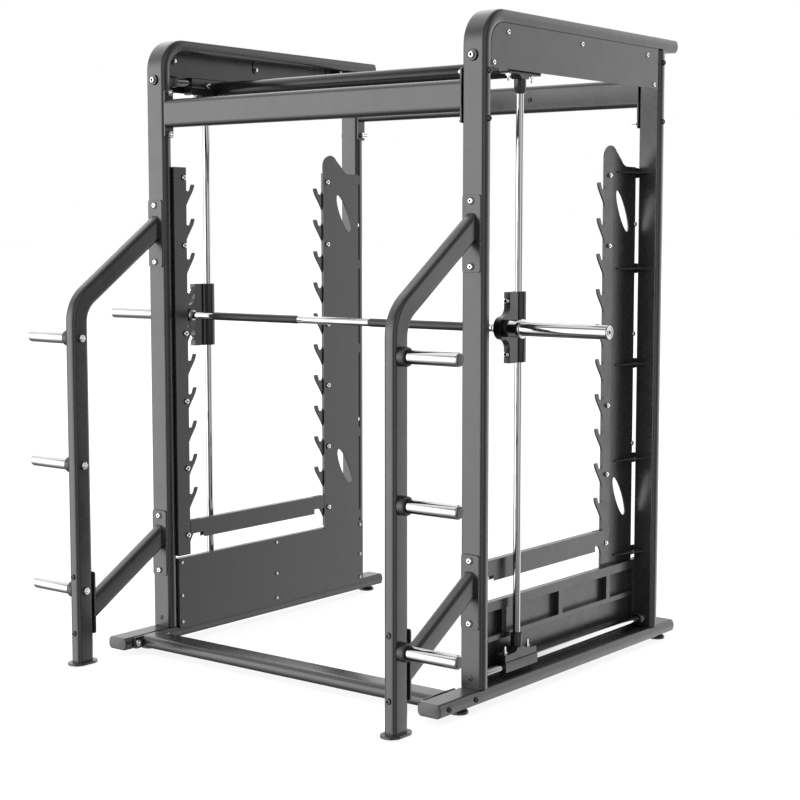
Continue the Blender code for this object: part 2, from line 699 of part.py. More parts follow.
def bar_sleeve(name, side):
    """Plate sleeve that turns on the bar end: hub, shoulder flange and tube, closed outside."""
    root = HUB_OUT + 2 * GAP
    centre = (BAR_Y, BAR_Z)
    sleeve = cylinder(name, SLEEVE_R, "X", *mirrored(side, root + 0.03, SLEEVE_END), centre)
    for piece, (radius, start, end) in (("hub", SHAFT_HUB), ("shoulder", SHOULDER)):
        limits = mirrored(side, root + start, root + end)
        join(sleeve, cylinder(f"{name}_{piece}", radius, "X", *limits, centre))
    bore = mirrored(side, root - 0.02, BAR_END + 2 * GAP)
    cut(sleeve, cylinder(name + "_bore", BAR_R + ROD_CLEAR, "X", *bore, centre))
    return finish(sleeve, CHROME)


# ---------------------------------------------------------------- safety bars
def safety_bar(name, side):
    """Channel, open below, whose forked ends hang on the lowest hooks by cross pins."""
    tip = HOOK_TOP - (HOOK_COUNT - 1) * HOOK_PITCH
    pin_z = tip - SLOT_DEPTH + SAFETY_PIN_R + 3 * GAP
    pins = (FRONT_EDGE + SLOT_R, REAR_EDGE - SLOT_R)
    top = pin_z + SAFETY_OVER_PIN
    low = top - SAFETY_TALL
    y = SAFETY_ENDS
    x = mirrored(side, SAFETY_IN, SAFETY_IN + SAFETY_WIDE)
    channel = block(name, x, y, (low, top))
    inner = mirrored(side, SAFETY_IN + SAFETY_WALL, SAFETY_IN + SAFETY_WIDE - SAFETY_WALL)
    lengthwise = (y[0] + SAFETY_WALL, y[1] - SAFETY_WALL)
    cut(channel, block(name + "_inside", inner, lengthwise, (low - 0.01, top - SAFETY_WALL)))
    middle = STRIP_IN + STRIP_THICK / 2
    slit = mirrored(side, middle - SAFETY_SLIT / 2, middle + SAFETY_SLIT / 2)
    before, behind = y[0] - 0.01, y[1] + 0.01
    slots = ((before, FRONT_EDGE + FRONT_REACH + 0.010), (REAR_EDGE - REAR_REACH - 0.010, behind))
    steps = ((before, SAFETY_STEPS[0]), (SAFETY_STEPS[1], behind))
    across = (x[0] - 0.01, x[1] + 0.01)
    pin = (x[0] + 0.001, x[1] - 0.001)
    for i, (station, slot, step) in enumerate(zip(pins, slots, steps)):
        cut(channel, block(f"{name}_slit_{i}", slit, slot, (low - 0.02, top + 0.02)))
        cut(channel, block(f"{name}_step_{i}", across, step, (low - 0.02, low + SAFETY_STEP)))
        join(channel, cylinder(f"{name}_pin_{i}", SAFETY_PIN_R, "X", *pin, (station, pin_z), 20))
    return finish(channel, COAT)


# ------------------------------------------------------------------- assembly
cross_beam("front_cross_beam", FRONT + 0.001 + BEAM_DEEP / 2, FRONT_BEAM_Z,
           (BEAM_DEEP, BEAM_TALL), (FLANGE_WIDE, FRONT_FLANGE_TALL))
cross_beam("rear_cross_beam", REAR_FACE - BEAM_DEEP / 2, REAR_BEAM_Z,
           (BEAM_DEEP, BEAM_TALL), (FLANGE_WIDE, REAR_FLANGE_TALL))
cross_beam("base_cross_tube", BASE_TUBE_Y, RAIL_LOW + TUBE_DEEP / 2,
           (BEAM_TALL, BEAM_DEEP), (BASE_FLANGE_LONG, FLANGE_WIDE))
sync_tube("sync_tube")
bar("barbell_bar")

for label, side in SIDES.items():
    front_upright(f"{label}_front_upright", side)
    rear_upright(f"{label}_rear_upright", side)
    base_rail(f"{label}_base_rail", side)
    rail_level = RAIL_LOW + TUBE_DEEP / 2
    tube_cap(f"{label}_front_rail_cap", side, RAIL_FRONT, -1, rail_level)
    tube_cap(f"{label}_rear_rail_cap", side, RAIL_REAR, 1, rail_level)
    side_panel(f"{label}_side_panel", side)
    rear_rack_plate(f"{label}_rear_rack_plate", side)
    hook_strip(f"{label}_front_hook_strip", side, FRONT_EDGE, FRONT_STRIP_BACK, 1, FRONT_REACH)
    hook_strip(f"{label}_rear_hook_strip", side, REAR_EDGE, REAR_STRIP_BACK, -1, REAR_REACH)
    side_frame(f"{label}_side_frame", side)
    lower_cover(f"{label}_lower_cover", side)
    storage_post(f"{label}_storage_post", side)
    storage_brace(f"{label}_storage_brace", side)
    for position, level in HORN_LEVELS.items():
        plate_horn(f"{label}_{position}_horn", side, level)
    for position, station in FOOT_STATIONS.items():
        levelling_foot(f"{label}_{position}_foot", side, station)
    guide_rod(f"{label}_upper_guide_rod", side, UPPER_GUIDE_Z)
    guide_rod(f"{label}_lower_guide_rod", side, LOWER_GUIDE_Z)
    carriage(f"{label}_upper_carriage", side, UPPER_GUIDE_Z, -1)
    carriage(f"{label}_lower_carriage", side, LOWER_GUIDE_Z, 1)
    vertical_rod(f"{label}_vertical_rod", side)
    rod_housing(f"{label}_rod_housing", side)
    linear_bearing(f"{label}_linear_bearing", side)
    bar_sleeve(f"{label}_bar_sleeve", side)
    safety_bar(f"{label}_safety_bar", side)
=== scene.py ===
"""Looks of the smith machine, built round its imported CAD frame.

The CAD nodes give every place and size.  Most of them are shown through a
refined copy with softened edges.  Turned parts, frame tubes, carriages and
housings are built again at a finer grain, and the fasteners, grips, bump
stops and end caps are added.  Metres, +Z up, +Y to the back of the machine.
"""
import json
import math

import bmesh
import bpy
from mathutils import Matrix, Vector
from mathutils.geometry import tessellate_polygon

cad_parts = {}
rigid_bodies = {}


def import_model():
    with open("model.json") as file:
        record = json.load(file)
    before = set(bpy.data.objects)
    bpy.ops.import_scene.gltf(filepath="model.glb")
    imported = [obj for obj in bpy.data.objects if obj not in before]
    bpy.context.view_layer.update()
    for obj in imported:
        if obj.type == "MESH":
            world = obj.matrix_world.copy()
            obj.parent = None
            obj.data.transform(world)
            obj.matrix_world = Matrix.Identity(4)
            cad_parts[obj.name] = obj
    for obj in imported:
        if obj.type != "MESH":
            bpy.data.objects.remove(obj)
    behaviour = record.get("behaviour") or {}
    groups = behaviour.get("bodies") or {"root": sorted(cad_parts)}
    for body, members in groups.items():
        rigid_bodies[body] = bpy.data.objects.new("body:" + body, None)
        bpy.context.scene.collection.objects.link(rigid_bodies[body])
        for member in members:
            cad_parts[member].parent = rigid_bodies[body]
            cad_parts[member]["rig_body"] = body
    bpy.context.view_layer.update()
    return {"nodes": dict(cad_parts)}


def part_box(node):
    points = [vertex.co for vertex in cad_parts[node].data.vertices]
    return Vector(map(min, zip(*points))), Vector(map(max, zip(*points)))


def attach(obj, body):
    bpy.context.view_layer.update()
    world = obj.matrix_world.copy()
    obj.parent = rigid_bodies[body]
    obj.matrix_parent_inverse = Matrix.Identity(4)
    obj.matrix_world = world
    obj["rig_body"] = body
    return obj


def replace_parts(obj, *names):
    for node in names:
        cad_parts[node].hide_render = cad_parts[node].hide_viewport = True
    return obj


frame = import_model()

SIDES = {"left": -1, "right": 1}
HORNS = ("top", "middle", "bottom")
GAP = 0.0003                      # the CAD's clearance between touching pieces
WALL = 0.003                      # thickness of the tubes' walls


# ------------------------------------------------------- stations from the CAD
def low(node):
    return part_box(node)[0]


def high(node):
    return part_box(node)[1]


def middle(node):
    return (low(node) + high(node)) / 2


FRONT = low("right_front_upright").y
FRAME_TOP = high("right_front_upright").z
FRAME_X = middle("right_rear_upright").x
INNER_X, OUTER_X = low("right_rear_upright").x, high("right_rear_upright").x
REAR_FRONT, REAR_FACE = low("right_rear_upright").y, high("right_rear_upright").y
TUBE = (OUTER_X - INNER_X, REAR_FACE - REAR_FRONT)
BEAM_REAR = high("right_front_upright").y
RAIL = (low("right_base_rail"), high("right_base_rail"))
RACK_IN = low("right_rear_rack_plate").x
RACK_LEVELS = (low("right_front_hook_strip").z, high("right_front_hook_strip").z)
UPPER_Z = middle("right_upper_guide_rod").z
LOWER_Z = middle("right_lower_guide_rod").z
ROD = middle("right_vertical_rod")
BAR = middle("barbell_bar")
POST_Y = middle("right_top_horn").y
POST_WIDE, POST_DEEP = 0.044, 0.072     # tube of the storage posts
FLANGE = 0.006                          # thickness of the bolt flanges
FLANGE_FACE = FRONT - GAP - FLANGE
FLANGE_IN = INNER_X - GAP - FLANGE
PLATE = 0.005                           # thickness of the rack plates
PANEL_SHEET = 0.006                     # thickness of the side panel
GUIDE_RADIUS, ROD_RADIUS, BAR_RADIUS = 0.014, 0.0125, 0.0130
HORN_RADIUS, SLEEVE_RADIUS = 0.0215, 0.0225
WELD = 1e-6                             # points closer than this are one point


# ------------------------------------------------------------------- materials
def node_of(tree, kind, **settings):
    """New shader node with the given settings."""
    node = tree.nodes.new("ShaderNode" + kind)
    for key, value in settings.items():
        setattr(node, key, value)
    return node


def noise(tree, scale, detail=2.0, stretch=None):
    """Noise value in the object's own metres; stretch squeezes it along the axes."""
    place = node_of(tree, "TexCoord")
    texture = node_of(tree, "TexNoise")
    texture.inputs["Scale"].default_value = scale
    texture.inputs["Detail"].default_value = detail
    source = place.outputs["Object"]
    if stretch:
        mapping = node_of(tree, "Mapping")
        mapping.inputs["Scale"].default_value = stretch
        tree.links.new(source, mapping.inputs["Vector"])
        source = mapping.outputs["Vector"]
    tree.links.new(source, texture.inputs["Vector"])
    return texture.outputs["Fac"]


def spread(tree, value, to_low, to_high, from_low=0.3, from_high=0.7):
    """A value eased from one range into another."""
    remap = node_of(tree, "MapRange", interpolation_type="SMOOTHSTEP")
    limits = {"From Min": from_low, "From Max": from_high, "To Min": to_low, "To Max": to_high}
    for socket, number in limits.items():
        remap.inputs[socket].default_value = number
    tree.links.new(value, remap.inputs["Value"])
    return remap.outputs["Result"]


def surface(name, colour, rough, metallic=0.0, grain=900.0, relief=0.00004, patch=5.0, tone=0.12,
            sheen_spread=0.06, stretch=None, level=0.5):
    """Painted, plated or moulded surface: fine relief, and slow changes of tone and gloss."""
    made = bpy.data.materials.new(name)
    made.use_nodes = True
    tree = made.node_tree
    shader = tree.nodes["Principled BSDF"]
    shader.inputs["Metallic"].default_value = metallic
    shader.inputs["Specular IOR Level"].default_value = level
    slow = noise(tree, patch, 3.0, stretch)
    shade = node_of(tree, "Mix", data_type="RGBA")
    shade.inputs["A"].default_value = (*(c * (1 - tone) for c in colour), 1.0)
    shade.inputs["B"].default_value = (*(c * (1 + tone) for c in colour), 1.0)
    tree.links.new(spread(tree, slow, 0.0, 1.0), shade.inputs["Factor"])
    tree.links.new(shade.outputs["Result"], shader.inputs["Base Color"])
    gloss = spread(tree, noise(tree, patch * 4, 4.0, stretch), rough - sheen_spread, rough + sheen_spread)
    tree.links.new(gloss, shader.inputs["Roughness"])
    bump = node_of(tree, "Bump")
    bump.inputs["Strength"].default_value = 0.6
    bump.inputs["Distance"].default_value = relief
    tree.links.new(noise(tree, grain, 3.0, stretch), bump.inputs["Height"])
    tree.links.new(bump.outputs["Normal"], shader.inputs["Normal"])
    return made


COAT = surface("powder_coat", (0.020, 0.020, 0.0205), 0.27, tone=0.08, sheen_spread=0.03)
# darker, less glossy copy of the powder coat for the sync tube: painted shade standing for the dark
# reflections on the tube
SHADED_COAT = surface("shaded_powder_coat", (0.010, 0.010, 0.0102), 0.22, tone=0.08, sheen_spread=0.03, level=0.22)
PANEL = surface("panel_coat", (0.022, 0.022, 0.0225), 0.30, grain=700.0, tone=0.08, sheen_spread=0.03)
CASTING = surface("black_casting", (0.014, 0.014, 0.0142), 0.26, grain=500.0, relief=0.00006, level=0.40)
CHROME = surface("chrome", (0.40, 0.40, 0.405), 0.07, 1.0, grain=300.0, relief=0.000004, tone=0.02,
                 sheen_spread=0.02)
ZINC = surface("bright_zinc", (0.80, 0.80, 0.81), 0.16, 1.0, grain=900.0, relief=0.00001, tone=0.05,
               sheen_spread=0.04)
# black oxide on washers and dark bolts; inside the sockets of the bright bolts it is painted shade in the
# hole
OXIDE_AND_SHADE = surface("black_oxide_and_socket_shade", (0.012, 0.012, 0.0125), 0.26, grain=1200.0, relief=0.00002)
RUBBER = surface("rubber", (0.014, 0.014, 0.0145), 0.45, grain=1500.0, relief=0.00008, tone=0.2)
GRIP = surface("ribbed_grip", (0.014, 0.014, 0.0145), 0.34, grain=260.0, relief=0.00012,
               stretch=(1.0, 0.02, 0.02), level=0.3)
PLASTIC = surface("end_plastic", (0.024, 0.024, 0.0245), 0.36, grain=1100.0, relief=0.00005)
BUSH = surface("ground_steel", (0.55, 0.56, 0.58), 0.25, 1.0, grain=200.0, relief=0.00001,
               stretch=(1.0, 1.0, 8.0))


# -------------------------------------------------------------------- outlines
def arc(centre, radii, start, end, steps):
    """Arc of an ellipse, angles in degrees, both ends included."""
    points = []
    for i in range(steps + 1):
        angle = math.radians(start + (end - start) * i / steps)
        points.append((centre[0] + radii[0] * math.cos(angle), centre[1] + radii[1] * math.sin(angle)))
    return points


def rounded(wide, tall, corner, centre=(0.0, 0.0), steps=6):
    """Rectangle whose corners are quarter ellipses with the given two radii."""
    points = []
    for sx, sy, start in ((1, 1, 0), (-1, 1, 90), (-1, -1, 180), (1, -1, 270)):
        at = (centre[0] + sx * (wide / 2 - corner[0]), centre[1] + sy * (tall / 2 - corner[1]))
        points += arc(at, corner, start, start + 90, steps)
    return points


BLUNT = math.radians(160)     # a corner blunter than this is left as it is


def circle(radius, sides, height):
    """Points of a circle round Z at a height."""
    points = []
    for i in range(sides):
        angle = 2 * math.pi * i / sides
        points.append(Vector((radius * math.cos(angle), radius * math.sin(angle), height)))
    return points


def band(bore, radius, start, end):
    """Profile of a plain ring, or of a rod where the bore is 0."""
    return [(bore, start), (radius, start), (radius, end), (bore, end)]


def span(side, inner, outer):
    """Two distances from the middle plane as a low and a high X on one side."""
    return sorted((side * inner, side * outer))


def eased(points, radius, closed=True):
    """The same outline with each corner cut by a small arc."""
    made = []
    count = len(points)
    for i, point in enumerate(points):
        here = Vector(point)
        if not closed and i in (0, count - 1):
            made.append(tuple(here))
            continue
        back = Vector(points[i - 1]) - here
        ahead = Vector(points[(i + 1) % count]) - here
        reach = min(radius, back.length * 0.45, ahead.length * 0.45)
        if reach < WELD or back.angle(ahead, math.pi) > BLUNT:
            made.append(tuple(here))
            continue
        first, last = here + back.normalized() * reach, here + ahead.normalized() * reach
        made += [tuple(first), tuple(here * 0.5 + (first + last) * 0.25), tuple(last)]
    return made


# ---------------------------------------------------------------- shape makers
SHARP = math.radians(40)              # edges that turn more than this are bevelled
AXES = {
    "X": Matrix(((0, 0, 1, 0), (1, 0, 0, 0), (0, 1, 0, 0), (0, 0, 0, 1))),
    "Y": Matrix(((1, 0, 0, 0), (0, 0, 1, 0), (0, 1, 0, 0), (0, 0, 0, 1))),
    "Z": Matrix.Identity(4),
}


def show(work, name, body, coat, smooth=35, inside=None):
    """Turn a bmesh into a finished piece that rides on a body; inside is a second material."""
    bmesh.ops.remove_doubles(work, verts=work.verts, dist=WELD)
    bmesh.ops.recalc_face_normals(work, faces=work.faces)
    mesh = bpy.data.meshes.new(name)
    work.to_mesh(mesh)
    work.free()
    mesh.shade_smooth()
    mesh.set_sharp_from_angle(angle=math.radians(smooth))
    mesh.materials.append(coat)
    if inside:
        mesh.materials.append(inside)
    piece = bpy.data.objects.new(name, mesh)
    bpy.context.scene.collection.objects.link(piece)
    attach(piece, body)
    return piece


def soften(piece, width):
    """Small bevel on sharp edges, with shading that keeps flat faces flat."""
    bevel = piece.modifiers.new("soft_edges", "BEVEL")
    bevel.width = width
    bevel.segments = 2
    bevel.limit_method = "ANGLE"
    bevel.angle_limit = SHARP
    weigh = piece.modifiers.new("flat_faces", "WEIGHTED_NORMAL")
    weigh.keep_sharp = True
    return piece


def skin(work, rings, closed_loop=False):
    """Faces between successive rings of equal length."""
    made = [[work.verts.new(point) for point in ring] for ring in rings]
    pairs = list(zip(made, made[1:]))
    if closed_loop:
        pairs.append((made[-1], made[0]))
    for first, second in pairs:
        for i in range(len(first)):
            j = (i + 1) % len(first)
            work.faces.new((first[i], first[j], second[j], second[i]))
    return made


def plug(work, rings):
    """Skin over rings, closed at both ends."""
    made = skin(work, rings)
    work.faces.new(made[0])
    work.faces.new(made[-1])


def turned(name, body, coat, profile, axis, centre, steps=48, ring=False, ease=0.0008, side=1, replaces=()):
    """Lathe: profile is (radius, distance along the axis) from end to end, or a closed ring."""
    work = bmesh.new()
    place = AXES[axis]
    rings = []
    for radius, along in eased(profile, ease, closed=ring):
        rings.append([place @ spot + Vector(centre) for spot in circle(radius, steps, along * side)])
    skin(work, rings, closed_loop=ring)
    piece = show(work, name, body, coat)
    if replaces:
        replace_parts(piece, *replaces)
    return piece


def slab(name, body, coat, loops, axis, start, end, edge=0.0006, replaces=()):
    """Flat plate: first loop is its outline, the others are its holes."""
    work = bmesh.new()
    place = AXES[axis]
    flat = [[Vector((u, v, 0.0)) for u, v in loop] for loop in loops]
    triangles = tessellate_polygon(flat)
    levels = []
    for level in (start, end):
        levels.append([work.verts.new(place @ Vector((p.x, p.y, level))) for loop in flat for p in loop])
    for corners in triangles:
        for verts in levels:
            work.faces.new([verts[i] for i in corners])
    first = 0
    for loop in loops:
        for i in range(len(loop)):
            a, b = first + i, first + (i + 1) % len(loop)
            work.faces.new((levels[0][a], levels[0][b], levels[1][b], levels[1][a]))
        first += len(loop)
    bmesh.ops.dissolve_limit(work, angle_limit=0.001, verts=work.verts, edges=work.edges, delimit={"NORMAL"})
    piece = soften(show(work, name, body, coat), edge)
    if replaces:
        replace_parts(piece, *replaces)
    return piece


def sweep(name, body, coat, section, path, x, wall=WALL, replaces=()):
    """Tube: section (across X, then across the run) carried along a path in Y and Z."""
    path = [Vector(point) for point in path]
    outer, inner = [], []
    for i, point in enumerate(path):
        before = (point - path[i - 1]).normalized() if i else None
        after = (path[i + 1] - point).normalized() if i + 1 < len(path) else None
        run = ((before or after) + (after or before)).normalized()
        across = Vector((-run.y, run.x))
        lengthen = 1 / max((before or after).dot(run), 0.5)
        for rings, inset in ((outer, 0.0), (inner, wall)):
            ring = []
            for u, v in section:
                u -= math.copysign(min(abs(u), inset), u)
                v -= math.copysign(min(abs(v), inset), v)
                spot = point + across * v * lengthen
                ring.append(Vector((x + u, spot.x, spot.y)))
            rings.append(ring)
    work = bmesh.new()
    skin(work, outer + inner[::-1], closed_loop=True)
    piece = soften(show(work, name, body, coat), 0.0006)
    if replaces:
        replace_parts(piece, *replaces)
    return piece


def refined(node, coat, edge=0.0006):
    """The CAD node's own shape, welded, with softened edges."""
    source = frame["nodes"][node]
    work = bmesh.new()
    work.from_mesh(source.data)
    bmesh.ops.remove_doubles(work, verts=work.verts, dist=10 * WELD)
    bmesh.ops.dissolve_limit(work, angle_limit=0.005, verts=work.verts, edges=work.edges)
    # a fresh mesh takes the faces without the CAD mesh's own shading
    shape = bpy.data.meshes.new("shape")
    work.to_mesh(shape)
    work.free()
    clean = bmesh.new()
    verts = [clean.verts.new(v.co) for v in shape.vertices]
    for polygon in shape.polygons:
        clean.faces.new([verts[i] for i in polygon.vertices])
    bpy.data.meshes.remove(shape)
    piece = soften(show(clean, node + "_shell", source["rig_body"], coat), edge)
    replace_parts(piece, node)
    return piece


# ------------------------------------------------------------------- fasteners
# Places of fasteners are (point, facing) pairs: the seat, and the way out of it.
BOLT_SIDES = 24
RIM = 0.275                           # straight rim of a button head, as a share of its height
SUNK = 0.001                          # how far a nut or a washer reaches into its seat


def seat(at, facing):
    """Matrix that stands a fastener on a point with its head outward."""
    return Matrix.Translation(Vector(at)) @ Vector(facing).to_track_quat("Z", "Y").to_matrix().to_4x4()


def raised(places, height):
    """The same places moved out along the way they face."""
    return [(Vector(at) + Vector(facing) * height, facing) for at, facing in places]


def hexagon(corner, sides, height):
    """Hexagon round Z whose outline has as many points as a circle of the given sides."""
    points = []
    for i in range(sides):
        angle = 2 * math.pi * i / sides
        off = angle % (math.pi / 3) - math.pi / 6
        reach = corner * math.cos(math.pi / 6) / math.cos(off)
        points.append(Vector((reach * math.cos(angle), reach * math.sin(angle), height)))
    return points


def add_bolt(work, place, radius, height, socket):
    """Button head with a hexagonal socket; its walls and floor take the piece's second material, which paints
    shade into the hole.
    """
    profile = [(radius * 0.9, -2 * SUNK), (radius, 0.0), (radius, height * RIM)]
    for share in (0.35, 0.7, 0.92):
        rise = RIM + (1 - RIM) * math.sin(share * math.pi / 2)
        profile.append((radius * (1 - 0.42 * share ** 2), height * rise))
    profile.append((radius * (socket + 0.06), height))
    rings = [circle(r, BOLT_SIDES, z) for r, z in profile]
    for depth in (height, height * 0.3):
        rings.append(hexagon(radius * socket, BOLT_SIDES, depth))
    made = skin(work, [[place @ point for point in ring] for ring in rings])
    work.faces.new(made[0])
    floor = work.faces.new(made[-1])
    for face in [floor] + [face for edge in floor.edges for face in edge.link_faces]:
        face.material_index = 1


def bolts(name, body, coat, places, radius, height, socket=0.52):
    """One piece of separate bolts; the socket is as wide as its share of the head."""
    work = bmesh.new()
    for at, facing in places:
        add_bolt(work, seat(at, facing), radius, height, socket)
    # the socket's inside is painted dark: painted shade in the hole of the bright heads
    return show(work, name, body, coat, smooth=30, inside=OXIDE_AND_SHADE)


def nuts(name, body, coat, places, radius, height, stud):
    """Hexagonal nuts, each with the end of its bolt showing."""
    nut = [(radius, -SUNK), (radius, height * 0.85), (radius * 0.86, height)]
    end = [(radius * 0.5, height * 0.9), (radius * 0.5, height + stud * 0.8), (radius * 0.36, height + stud)]
    work = bmesh.new()
    for at, facing in places:
        place = seat(at, facing)
        for sides, profile in ((6, nut), (16, end)):
            plug(work, [[place @ point for point in circle(r, sides, z)] for r, z in profile])
    return show(work, name, body, coat, smooth=30)


def washers(name, body, coat, places, radius, thick):
    """One piece of separate flat washers."""
    centre = 0.0001
    profile = [(centre, -SUNK), (radius, -SUNK), (radius, thick * 0.7), (radius * 0.92, thick),
               (centre, thick)]
    work = bmesh.new()
    for at, facing in places:
        place = seat(at, facing)
        plug(work, [[place @ point for point in circle(r, 32, z)] for r, z in profile])
    return show(work, name, body, coat, smooth=30)


# ----------------------------------------------------------------------- frame
TUBE_CORNER = (0.0125, 0.0215)      # the narrow sides of the frame's tube are nearly half round
BEND = 0.090                        # radius of the upright's bend, at the tube's middle


def bent_path(start, corner, end, radius, steps=20):
    """Straight run, arc and straight run in the plane of a side frame."""
    start, corner, end = Vector(start), Vector(corner), Vector(end)
    a, b = (start - corner).normalized(), (end - corner).normalized()
    half = a.angle(b) / 2
    centre = corner + (a + b).normalized() * radius / math.sin(half)
    first = corner + a * radius / math.tan(half) - centre
    last = corner + b * radius / math.tan(half) - centre
    turn = first.angle(last)
    points = [start]
    for i in range(steps + 1):
        share = i / steps
        spoke = first * math.sin((1 - share) * turn) + last * math.sin(share * turn)
        points.append(centre + spoke / math.sin(turn))
    return points + [end]


def frame_tubes(label, side):
    """Front upright and top beam as one bent tube, the rear upright and the base rail."""
    x = side * FRAME_X
    section = rounded(*TUBE, TUBE_CORNER)
    up = FRONT + TUBE[1] / 2
    top = FRAME_TOP - TUBE[1] / 2
    floor_end = RAIL[1].z + GAP
    path = bent_path((up, floor_end), (up, top), (BEAM_REAR, top), BEND)
    sweep(f"{label}_upright_and_beam", "root", COAT, section, path, x, replaces=[f"{label}_front_upright"])
    back = (REAR_FRONT + REAR_FACE) / 2
    path = [(back, floor_end), (back, FRAME_TOP - TUBE[1] - GAP)]
    sweep(f"{label}_rear_post", "root", COAT, section, path, x, replaces=[f"{label}_rear_upright"])
    level = (RAIL[0].z + RAIL[1].z) / 2
    path = [(RAIL[0].y, level), (RAIL[1].y, level)]
    sweep(f"{label}_rail", "root", COAT, section, path, x, replaces=[f"{label}_base_rail"])


def front_rack_plate(label, side):
    """Angle plate behind the hook strip, welded to the back of the upright."""
    near, far = FRONT + 0.040, FRONT + 0.102
    outer, flange_end = RACK_IN + PLATE, 0.680
    weld = FRONT + TUBE[1] - 0.0005
    corners = [(RACK_IN, near), (outer, near), (outer, weld), (flange_end, weld),
               (flange_end, weld + PLATE), (outer, weld + PLATE), (outer, far), (RACK_IN, far)]
    loop = [(side * x, y) for x, y in corners]
    slab(f"{label}_front_rack_plate", "root", COAT, [loop], "Z", *RACK_LEVELS)


# plugs in the tubes' ends, as (inset from the tube's outline, distance out of its end)
BEAM_PLUG = ((0.0, 0.0), (0.0, 0.003), (0.0015, 0.006), (0.005, 0.0078), (0.010, 0.0085))
RAIL_PLUG = ((0.004, -0.012), (0.004, 0.0), (0.0, 0.0), (0.0, 0.0025), (0.001, 0.0042), (0.004, 0.005))
RAIL_PLUG_OUT = RAIL_PLUG[-1][1]


def tube_plug(name, x, end, outward, level, steps):
    """Plastic plug in a frame tube's end that faces along Y."""
    rings = []
    for inset, out in steps:
        corner = (TUBE_CORNER[0], TUBE_CORNER[1] - inset)
        outline = rounded(TUBE[0] - 2 * inset, TUBE[1] - 2 * inset, corner)
        rings.append([Vector((x + u, end + outward * out, level + v)) for u, v in outline])
    work = bmesh.new()
    plug(work, rings)
    return show(work, name, "root", PLASTIC)


def beam_caps(label, side):
    """Plug in the open rear end of the top beam, and the base rail's two."""
    x = side * FRAME_X
    tube_plug(f"{label}_beam_cap", x, BEAM_REAR + GAP, 1, FRAME_TOP - TUBE[1] / 2, BEAM_PLUG)
    for where, outward in (("front", -1), ("rear", 1)):
        node = f"{label}_{where}_rail_cap"
        end = high(node).y - RAIL_PLUG_OUT if outward > 0 else low(node).y + RAIL_PLUG_OUT
        cap = tube_plug(f"{label}_{where}_cap", x, end, outward, middle(node).z, RAIL_PLUG)
        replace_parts(cap, node)


# Where the bolts stand: heights are above the floor, depths behind the uprights' front faces.
AHEAD = (0, -1, 0)
BEAM_BOLTS, REAR_BEAM_BOLTS, BASE_BOLTS = 0.073, 0.104, 0.0715    # each side of the beam's middle
POST_FLANGE_LEVELS = (1.609, 1.406, 0.479, 0.277)
BRACE_FOOT, BRACE_BOLTS = 0.217, 0.100
RACK_BOLTS = ((0.089, (1.710, 1.465, 1.145, 0.896, 0.648, 0.399)),
              (0.891, (1.712, 1.465, 1.145, 0.898, 0.650, 0.401)))
FIN_BOLT_LEVELS = (1.542, 1.145, 0.743)
FIN_TAB_LEVELS = (1.726, 1.383, 1.038, 0.690, 0.346)
PANEL_SCREWS, PANEL_SCREW_LEVEL = (0.135, 0.571, 1.005), 2.134
PANEL_CORNERS = ((0.057, 2.035), (1.055, 2.034))
COVER_SCREWS, COVER_SCREW_LEVELS = (0.061, 0.581, 1.099), (0.299, 0.175, 0.077)
BEAM_BOLT = (0.187, 2.010)            # X and height of the small bolt in the rear beam
HEAD_BACK = 0.002                     # the front beam's outer heads stand this far behind its middle

# Sizes: a head's radius and height, a nut's corner radius and height, a washer's radius and thickness.
FRAME_HEAD, FRAME_NUT, FRAME_WASHER = (0.0092, 0.006), (0.0122, 0.011), (0.0125, 0.0015)
DARK_HEAD, BEAM_HEAD, LOW_ROD_HEAD = (0.0098, 0.006), (0.009, 0.005), (0.008, 0.003)
ROD_HEAD, ROD_WASHER = (0.0105, 0.006), (0.0185, 0.007)
RACK_NUT, RACK_WASHER, FIN_HEAD = (0.0090, 0.007), (0.0120, 0.0015), (0.0085, 0.0035)
PANEL_HEAD, PANEL_NUT = (0.0080, 0.004), (0.0075, 0.006)
COVER_HEAD, COVER_WASHER = (0.0056, 0.003), (0.0080, 0.0012)
HORN_NUT, HORN_WASHER = (0.0135, 0.008), (0.0165, 0.002)
SADDLE_NUT, BLOCK_HEAD, BLOCK_WASHER = (0.0085, 0.007), (0.0090, 0.006), (0.0145, 0.003)
CARRIER_HEAD, SLEEVE_HEAD = (0.0092, 0.011), (0.0055, 0.003)


def either_side(distance):
    """The two offsets of a pair of bolts."""
    return -distance, distance


